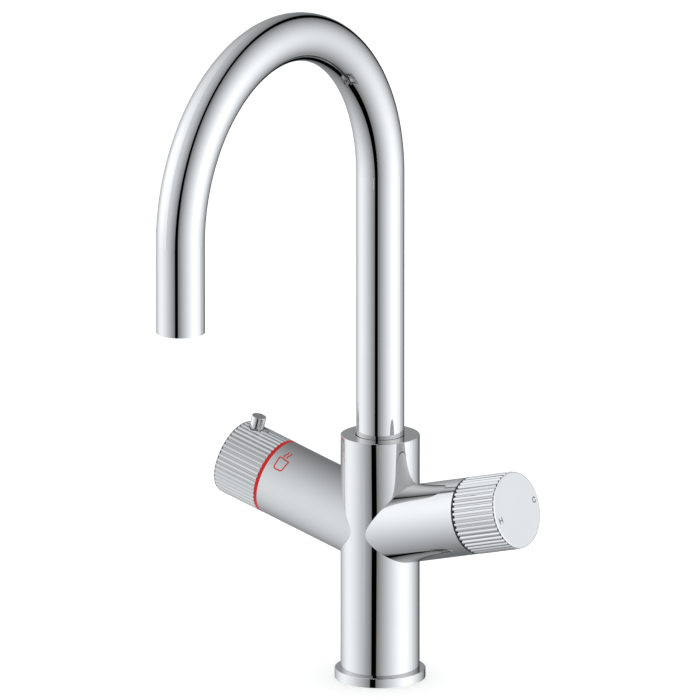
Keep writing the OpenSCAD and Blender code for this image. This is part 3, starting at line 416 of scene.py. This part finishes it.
# %% Dulling group
dulling, given, result = new_group(
    "dulling",
    [
        ("Scale", "NodeSocketFloat", 120.0),
        ("Clean", "NodeSocketColor", (0.8, 0.8, 0.8, 1)),
        ("Dull", "NodeSocketColor", (0.7, 0.7, 0.7, 1)),
    ],
    [("Color", "NodeSocketColor")],
)
patches = add_node(
    dulling, "ShaderNodeTexNoise",
    inputs={"Vector": object_place(dulling), "Scale": given["Scale"], "Detail": 4.0},
)
mixed = add_node(
    dulling, "ShaderNodeMix", data_type="RGBA",
    inputs={0: spread(dulling, patches.outputs[0], 0.0, 1.0), 6: given["Clean"], 7: given["Dull"]},
)
dulling.links.new(mixed.outputs[2], result["Color"])
print("group", dulling.name)


# %% Helpers that build a finish
def new_material(name, metallic=0.0):
    """A material with its own Principled shader."""
    material = bpy.data.materials.new("finish_" + name)
    material.use_nodes = True
    tree = material.node_tree
    shader = tree.nodes["Principled BSDF"]
    shader.inputs["Metallic"].default_value = metallic
    return material, tree, shader


def use_group(tree, group, **values):
    """Places a shared effect. Its inputs are named with _ for a space."""
    node = add_node(tree, "ShaderNodeGroup", node_tree=group)
    for name, value in values.items():
        node.inputs[name.replace("_", " ")].default_value = value
    return node.outputs[0]


def use_haze(tree, shader, scale, low, high):
    """Lets the haze group set a finish's roughness."""
    tree.links.new(use_group(tree, haze, Scale=scale, Low=low, High=high), shader.inputs["Roughness"])


def use_dulling(tree, shader, scale, clean, dull):
    """Lets the dulling group set a finish's colour."""
    color = use_group(tree, dulling, Scale=scale, Clean=(*clean, 1), Dull=(*dull, 1))
    tree.links.new(color, shader.inputs["Base Color"])


def use_bump(tree, shader, height, strength, distance):
    """Raises the surface by a height pattern, of the given depth in metres."""
    bump = add_node(
        tree, "ShaderNodeBump",
        inputs={"Height": height, "Strength": strength, "Distance": distance},
    )
    tree.links.new(bump.outputs[0], shader.inputs["Normal"])


# %% [markdown]
# ## Chrome
# Bright chrome plate is a thin, hard metal over polished brass. It mirrors about two thirds of the
# light with a roughness near zero, so a mirror image of a mirror image is plainly darker than the
# studio itself. Its cool cast comes from the soft boxes. Chromium's reflection rises little towards
# a grazing view, which the specular tint sets. The end caps are turned before they are plated, so
# their faces keep a trace of the lathe's rings.

# %% Chrome
CHROME_TINT = (0.654, 0.649, 0.645)
CHROME_SHADE = (0.643, 0.638, 0.635)
CHROME_EDGE = (0.72, 0.715, 0.71, 1)
CHROME_PATCHES = 60.0
CHROME_HAZE_SCALE = 900.0
CHROME_HAZE = (0.012, 0.035)
CAP_RINGS = 9000.0
CAP_RING_STRENGTH = 0.15
CAP_RING_DEPTH = 0.0008 * MM


def chrome_plate(name):
    """Polished chrome plate, as a material, its tree and its shader."""
    material, tree, shader = new_material(name, metallic=1.0)
    use_dulling(tree, shader, CHROME_PATCHES, CHROME_TINT, CHROME_SHADE)
    use_haze(tree, shader, CHROME_HAZE_SCALE, *CHROME_HAZE)
    shader.inputs["Specular Tint"].default_value = CHROME_EDGE
    return material, tree, shader


chrome = chrome_plate("chrome_plate")[0]
button_chrome = chrome_plate("button_chrome")[0]

cap_chrome, tree, shader = chrome_plate("cap_chrome")
lines = use_group(tree, turning, Axis=mixer_axis, Centre=arm_centre, Rings_per_metre=CAP_RINGS)
use_bump(tree, shader, lines, CAP_RING_STRENGTH, CAP_RING_DEPTH)
print("chrome for the body, the button and the caps")

# %% [markdown]
# ## Chrome outside, bare casting inside
# Plating doesn't reach into the hollow foot: from below, the body shows the brass it was cast in.
# The solid is one piece, so one material has to do both. The distance from the body's axis and
# the height tell the hollow from the outside, with no seam to line up.

# %% Casting
FOOT_HOLLOW_RADIUS = 17.95 * MM
FOOT_HOLLOW_TOP = 61 * MM
CAST_BRASS = (0.60, 0.43, 0.20)
CAST_SHADE = (0.42, 0.29, 0.14)
CAST_PATCHES = 250.0
CAST_HAZE_SCALE = 400.0
CAST_HAZE = (0.38, 0.55)
SAND_SCALE = 1500.0
SAND_STRENGTH = 0.6
SAND_DEPTH = 0.1 * MM

casting, tree, shader = new_material("chrome_casting", metallic=1.0)
shader.inputs["Specular Tint"].default_value = CHROME_EDGE
place = add_node(tree, "ShaderNodeSeparateXYZ", inputs={0: object_place(tree)}).outputs
level_place = add_node(tree, "ShaderNodeCombineXYZ", inputs={"X": place["X"], "Y": place["Y"]})
off_axis = add_node(
    tree, "ShaderNodeVectorMath", operation="LENGTH", inputs={0: level_place.outputs[0]},
).outputs["Value"]
near_axis = math_node(tree, "LESS_THAN", off_axis, FOOT_HOLLOW_RADIUS)
low_down = math_node(tree, "LESS_THAN", place["Z"], FOOT_HOLLOW_TOP)
in_hollow = math_node(tree, "MULTIPLY", near_axis, low_down)
plated = use_group(
    tree, dulling, Scale=CHROME_PATCHES, Clean=(*CHROME_TINT, 1), Dull=(*CHROME_SHADE, 1),
)
bare = use_group(tree, dulling, Scale=CAST_PATCHES, Clean=(*CAST_BRASS, 1), Dull=(*CAST_SHADE, 1))
color = add_node(tree, "ShaderNodeMix", data_type="RGBA", inputs={0: in_hollow, 6: plated, 7: bare})
tree.links.new(color.outputs[2], shader.inputs["Base Color"])
smooth = use_group(tree, haze, Scale=CHROME_HAZE_SCALE, Low=CHROME_HAZE[0], High=CHROME_HAZE[1])
rough = use_group(tree, haze, Scale=CAST_HAZE_SCALE, Low=CAST_HAZE[0], High=CAST_HAZE[1])
roughness = add_node(tree, "ShaderNodeMix", data_type="FLOAT", inputs={0: in_hollow, 2: smooth, 3: rough})
tree.links.new(roughness.outputs[0], shader.inputs["Roughness"])
sand = math_node(tree, "MULTIPLY", use_group(tree, grain, Scale=SAND_SCALE), in_hollow)
use_bump(tree, shader, sand, SAND_STRENGTH, SAND_DEPTH)
print("casting: bare below", round(FOOT_HOLLOW_TOP / MM), "mm inside the foot")

# %% [markdown]
# ## Metals inside
# The valves' parts are turned from brass and aren't plated, and the small screws, the clip and
# the spring are stainless steel. Both show the lathe's rings, brass also dulls in patches.

# %% Brass and steel
BARE_METALS = {
    # name: (clean, dull, size of patches, haze size and range, rings per metre, strength, depth)
    "bare_brass": (
        (0.80, 0.62, 0.32), (0.66, 0.48, 0.22), 180.0, (500.0, 0.2, 0.34), 5000.0, 0.4, 0.004 * MM,
    ),
    "stainless_steel": (
        (0.66, 0.66, 0.65), (0.56, 0.56, 0.55), 200.0, (700.0, 0.18, 0.3), 7000.0, 0.3, 0.003 * MM,
    ),
}


def bare_metal(name):
    """A turned metal without plating."""
    clean, dull, patches, hazing, rings_per_metre, strength, depth = BARE_METALS[name]
    material, tree, shader = new_material(name, metallic=1.0)
    use_dulling(tree, shader, patches, clean, dull)
    use_haze(tree, shader, *hazing)
    use_bump(tree, shader, use_group(tree, turning, Rings_per_metre=rings_per_metre), strength, depth)
    return material


bare_brass = bare_metal("bare_brass")
steel = bare_metal("stainless_steel")
print("made", bare_brass.name, "and", steel.name)

# %% [markdown]
# ## Plastics, rubber, ceramic and hose
# The red ring at the boiling knob is a smooth glossy moulding. The black ring at the mixer knob is
# painted shade: a black part that stands in for the dark shadow of the gap between arm and knob.
# Seals are matt black rubber, the cartridge and the jets are white moulded plastic, and the valves'
# discs are ground ceramic.


# %% Mouldings
PLAIN_SHEEN = 0.5
RED_SHEEN = 0.3
PATCH_SCALE = 220.0
HAZE_SCALE = 600.0
GRAIN_STRENGTH = 0.5


def moulding(name, clean, dull, rough, grain_scale, grain_depth, sheen=PLAIN_SHEEN):
    """A moulded or ground material: two close colours, a roughness range and a grain."""
    material, tree, shader = new_material(name)
    use_dulling(tree, shader, PATCH_SCALE, clean, dull)
    use_haze(tree, shader, HAZE_SCALE, *rough)
    use_bump(tree, shader, use_group(tree, grain, Scale=grain_scale), GRAIN_STRENGTH, grain_depth)
    shader.inputs["Specular IOR Level"].default_value = sheen
    return material


red_plastic = moulding(
    "red_plastic", (0.56, 0.004, 0.004), (0.50, 0.003, 0.003), (0.26, 0.34), 2500.0, 0.004 * MM, RED_SHEEN,
)
# Painted shade: on the black ring at the mixer knob, this black stands in for the shadow in the gap
# between arm and knob.
black_plastic = moulding(
    "black_plastic", (0.010, 0.010, 0.011), (0.007, 0.007, 0.008), (0.5, 0.6), 3000.0, 0.01 * MM,
)
white_plastic = moulding(
    "white_plastic", (0.80, 0.80, 0.78), (0.76, 0.76, 0.73), (0.35, 0.45), 2500.0, 0.01 * MM,
)
ceramic = moulding("ceramic", (0.86, 0.85, 0.81), (0.83, 0.82, 0.77), (0.1, 0.16), 5000.0, 0.002 * MM)
rubber = moulding(
    "rubber", (0.022, 0.022, 0.022), (0.015, 0.015, 0.015), (0.6, 0.75), 2000.0, 0.02 * MM,
)
hose_liner = moulding(
    "hose_liner", (0.82, 0.82, 0.79), (0.76, 0.76, 0.72), (0.4, 0.5), 1800.0, 0.01 * MM,
)
print("made six mouldings")

# %% [markdown]
# ## Every solid gets its finish
# The record says which material slot each solid belongs to. The body alone differs, because it is
# both plated and bare.

# %% Give the finishes
FINISHES = {
    "chrome_brass": chrome,
    "button_chrome": button_chrome,
    "cap_chrome": cap_chrome,
    "bare_brass": bare_brass,
    "black_plastic": black_plastic,
    "red_plastic": red_plastic,
    "white_plastic": white_plastic,
    "ceramic": ceramic,
    "rubber": rubber,
    "steel": steel,
    "hose_liner": hose_liner,
}
for part in frame["record"]["subparts"]:
    mesh = frame["nodes"][part["node"]].data
    mesh.materials.clear()
    mesh.materials.append(FINISHES[part["material_slot"]])
frame["nodes"]["tap_body"].data.materials[0] = casting

# %% [markdown]
# ## Marks: how they are drawn
# The tap has three small marks: H and C on the mixer's face, and a cup with steam on the boiling
# arm. A font would give letters that are too heavy, so each mark is a set of strokes with round
# ends, like a pen's. A stroke is a curve with a thickness, which becomes a mesh, is pressed flat
# and is then laid on the metal. It stands proud by a few hundredths of a millimetre, as print does.

# %% Strokes
PRINT_HEIGHT = 0.03 * MM
ARC_STEP = 12.0
LONGEST_PIECE = 0.4
STROKE_ROUNDNESS = 2
SMOOTH_BELOW = math.radians(60)


def arc(x, y, radius, start, end):
    """Points along an arc, in millimetres. Angles run from the x axis, in degrees."""
    steps = max(2, round(abs(end - start) / ARC_STEP))
    turns = [math.radians(start + (end - start) * step / steps) for step in range(steps + 1)]
    return [(x + radius * math.cos(turn), y + radius * math.sin(turn)) for turn in turns]


def divide(points):
    """Adds points to a line so that no piece of it is longer than LONGEST_PIECE, in millimetres."""
    fine = [points[0]]
    for (x0, y0), (x1, y1) in zip(points, points[1:]):
        parts = max(1, math.ceil(math.hypot(x1 - x0, y1 - y0) / LONGEST_PIECE))
        fine += [(x0 + (x1 - x0) * k / parts, y0 + (y1 - y0) * k / parts) for k in range(1, parts + 1)]
    return fine


def draw(name, strokes, width):
    """A flat mesh of pen strokes round the origin: x and y are the drawing, z is its height."""
    bpy.ops.object.select_all(action="DESELECT")
    bpy.ops.curve.primitive_bezier_curve_add()
    mark = bpy.context.object
    mark.name = name
    curve = mark.data
    curve.splines.clear()
    curve.dimensions = "3D"
    for stroke in strokes:
        points = divide(stroke)
        spline = curve.splines.new("POLY")
        spline.points.add(len(points) - 1)
        for point, (x, y) in zip(spline.points, points):
            point.co = (x * MM, y * MM, 0, 1)
    curve.bevel_depth = width * MM / 2
    curve.bevel_resolution = STROKE_ROUNDNESS
    curve.use_fill_caps = True
    bpy.ops.object.convert(target="MESH")
    mark = bpy.context.object
    bpy.ops.object.mode_set(mode="EDIT")
    bpy.ops.mesh.select_all(action="SELECT")
    bpy.ops.transform.resize(value=(1, 1, 2 * PRINT_HEIGHT / (width * MM)))
    bpy.ops.mesh.normals_make_consistent(inside=False)
    bpy.ops.object.mode_set(mode="OBJECT")
    return mark


def lay_on(mark, surface):
    """Moves each point of a flat drawing onto the object: surface(x, y, z) gives its place."""
    for vertex in mark.data.vertices:
        vertex.co = surface(*vertex.co)
    mark.data.update()
    bpy.ops.object.select_all(action="DESELECT")
    mark.select_set(True)
    bpy.context.view_layer.objects.active = mark
    bpy.ops.object.shade_smooth_by_angle(angle=SMOOTH_BELOW)


# %% [markdown]
# ## H and C on the mixer's face
# They tell hot from cold. They are printed in grey, H near the front rim and C near the back rim,
# and both stand upright on the line that joins them.

# %% Letters
LETTER_HEIGHT = 3.6
LETTER_WIDTH = 2.6
LETTER_STROKE = 0.66
COLD_RADIUS = 1.42
COLD_ENDS = (28, 344)
LETTER_GREY = (0.115, 0.12, 0.125)
LETTER_SHADE = (0.08, 0.085, 0.09)
LETTER_MIDDLES = {"hot_letter": (-2.4, 16.35), "cold_letter": (2.0, -17.15)}

half_high, half_wide = LETTER_HEIGHT / 2, LETTER_WIDTH / 2
LETTERS = {
    "hot_letter": [
        [(-half_wide, -half_high), (-half_wide, half_high)],
        [(half_wide, -half_high), (half_wide, half_high)],
        [(-half_wide, 0), (half_wide, 0)],
    ],
    "cold_letter": [arc(0, 0, COLD_RADIUS, *COLD_ENDS)],
}

letter_grey, tree, shader = new_material("letter_grey")
use_dulling(tree, shader, 800.0, LETTER_GREY, LETTER_SHADE)
use_haze(tree, shader, 900.0, 0.35, 0.5)

mixer_up = mixer_axis.cross(front)
mixer_up *= math.copysign(1, mixer_up.z)
face_centre = arm_centre + mixer_axis * mixer_end
middles = {
    name: face_centre + (mixer_up * up + front * out) * MM for name, (up, out) in LETTER_MIDDLES.items()
}
side = (middles["cold_letter"] - middles["hot_letter"]).normalized()
top = mixer_axis.cross(side)


def on_the_face(middle):
    """Lays a drawing flat on the mixer's face, with its middle here."""
    return lambda x, y, z: middle + side * x + top * y + mixer_axis * z


for name, strokes in LETTERS.items():
    letter = draw(name, strokes, LETTER_STROKE)
    lay_on(letter, on_the_face(middles[name]))
    letter.data.materials.append(letter_grey)
    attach(letter, "mixer_knob_body")
    print(name, len(letter.data.polygons), "faces")

# %% [markdown]
# ## The sign on the boiling arm
# A cup with steam warns that the water is boiling. It is printed in red on the arm, in front of
# the knob, and reads upright from the front. The drawing is flat, so each point is wrapped round
# the arm: its height on the paper becomes an angle round the axis. The drink's surface and the
# steam are waves, so both come from one function.

# %% Sign
SIGN_RED = (0.56, 0.004, 0.004)
SIGN_SHADE = (0.50, 0.003, 0.003)
SIGN_STROKE = 0.75
SIGN_MIDDLE = 62.2
SIGN_RIM_TURN = 34.5
RIM_HALF = 3.25
FLOOR_HALF = 2.8
CUP_HEIGHT = 7.4
CORNER = 1.3
RIM_DROP = 0.65
RIM_WAVE = 0.15
STEAM_PLACES = (-1.1, 0.85)
STEAM_START = 0.9
STEAM_HEIGHT = 4.3
STEAM_WAVE = 0.4
WAVE_STEPS = 24
SIDE_LEAN = 4
NEAR_KNOB = 3 * MM


def wave(start, end, size, turns):
    """Points from start to end, swinging to the left of the line first and then to its right."""
    (x0, y0), (x1, y1) = start, end
    length = math.hypot(x1 - x0, y1 - y0)
    points = []
    for step in range(WAVE_STEPS + 1):
        part = step / WAVE_STEPS
        swing = size * math.sin(turns * part * 2 * math.pi) / length
        points.append((
            x0 + (x1 - x0) * part - (y1 - y0) * swing,
            y0 + (y1 - y0) * part + (x1 - x0) * swing,
        ))
    return points


corner_x, corner_y = FLOOR_HALF - CORNER, CORNER - CUP_HEIGHT
left_rim, right_rim = (-RIM_HALF, 0), (RIM_HALF, -RIM_DROP)
cup = (
    [left_rim]
    + arc(-corner_x, corner_y, CORNER, 180 + SIDE_LEAN, 270)
    + arc(corner_x, corner_y, CORNER, 270, 360 - SIDE_LEAN)
    + [right_rim]
)
drink = wave(left_rim, right_rim, RIM_WAVE, 1)
steam = [
    wave((x, STEAM_START), (x, STEAM_START + STEAM_HEIGHT), STEAM_WAVE, 1) for x in STEAM_PLACES
]

red_print, tree, shader = new_material("red_print")
use_dulling(tree, shader, 500.0, SIGN_RED, SIGN_SHADE)
shader.inputs["Specular IOR Level"].default_value = RED_SHEEN
use_haze(tree, shader, 700.0, 0.3, 0.4)

boil_up = boil_axis.cross(front)
boil_up *= math.copysign(1, boil_up.z)
arm_radius = max(
    (vertex.co - arm_centre - boil_axis * (vertex.co - arm_centre).dot(boil_axis)).length
    for vertex in frame["nodes"]["tap_body"].data.vertices
    if abs((vertex.co - arm_centre).dot(boil_axis) - knob_start) < NEAR_KNOB
)
print("arm radius %.2f mm" % (arm_radius / MM))


def round_the_arm(x, y, z):
    """Wraps a drawing round the boiling arm: its height becomes an angle."""
    turn = math.radians(SIGN_RIM_TURN) - y / arm_radius
    outwards = boil_up * math.cos(turn) + front * math.sin(turn)
    return arm_centre + boil_axis * (SIGN_MIDDLE * MM - x) + outwards * (arm_radius + z)


sign = draw("boiling_sign", [cup, drink] + steam, SIGN_STROKE)
lay_on(sign, round_the_arm)
sign.data.materials.append(red_print)
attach(sign, "tap")
print(sign.name, len(sign.data.polygons), "faces")

# %% [markdown]
# ## The spring under the push pin
# The pin stands on a coil of steel wire inside the knob, and the coil closes up as the pin goes
# in. A rigid solid can't do that, so a copy of the solid model's coil is shown in its place, with
# its own mesh, and the solid's coil is hidden. The copy rides on the boiling knob's body.

bpy.ops.object.select_all(action="DESELECT")
frame["nodes"]["button_spring"].select_set(True)
bpy.context.view_layer.objects.active = frame["nodes"]["button_spring"]
bpy.ops.object.duplicate()
coil = bpy.context.object
coil.name = "button_coil"
del coil["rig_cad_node"]

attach(coil, "boil_knob_body")
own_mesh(coil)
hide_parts("button_spring")
